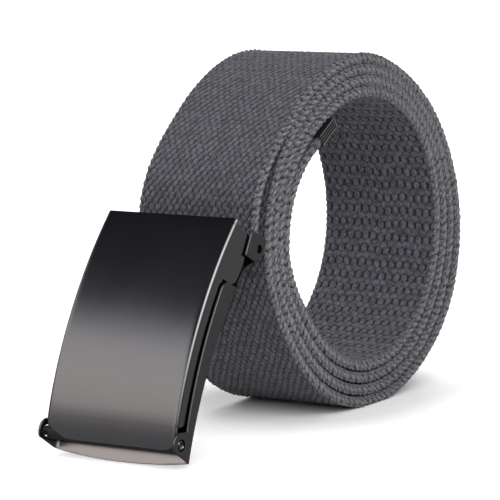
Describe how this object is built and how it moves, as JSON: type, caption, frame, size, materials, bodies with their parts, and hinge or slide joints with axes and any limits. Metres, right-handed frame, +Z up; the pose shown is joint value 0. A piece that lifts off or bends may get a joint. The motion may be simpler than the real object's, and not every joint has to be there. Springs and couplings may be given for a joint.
{
  "type": "military belt",
  "caption": "Rolled webbing belt standing on edge, with a curved box buckle on its outer end and a metal cap on its inner end.",
  "frame": {"origin": "middle of the underside of the whole belt, on the surface that it stands on", "axes": "+Z up, X across the web's width, +Y from the buckle towards the roll, so the buckle faces -Y"},
  "size_m": [0.0442, 0.1512, 0.0997],
  "materials": {
    "web": "thick woven web, charcoal grey, matt",
    "black_metal": "black lacquer, half gloss",
    "frame_metal": "dark plated steel, satin",
    "lid_metal": "dark plated steel, smooth and softly glossy",
    "pin_metal": "plated steel"
  },
  "bodies": {
    "belt": {"web_strap": "web", "belt_tip": "black_metal", "buckle_frame": "frame_metal", "hinge_pin": "pin_metal", "clamp_jaw": "frame_metal", "clamp_rivet_left": "pin_metal", "clamp_rivet_right": "pin_metal"},
    "lid": {"buckle_lid": "lid_metal"}
  },
  "joints": [
    {"name": "lid_hinge", "type": "hinge", "parent": "belt", "child": "lid", "pos_m": [0, -0.07219, 0.00709], "axis": [1, 0, 0], "range_deg": [0, 90]}
  ]
}
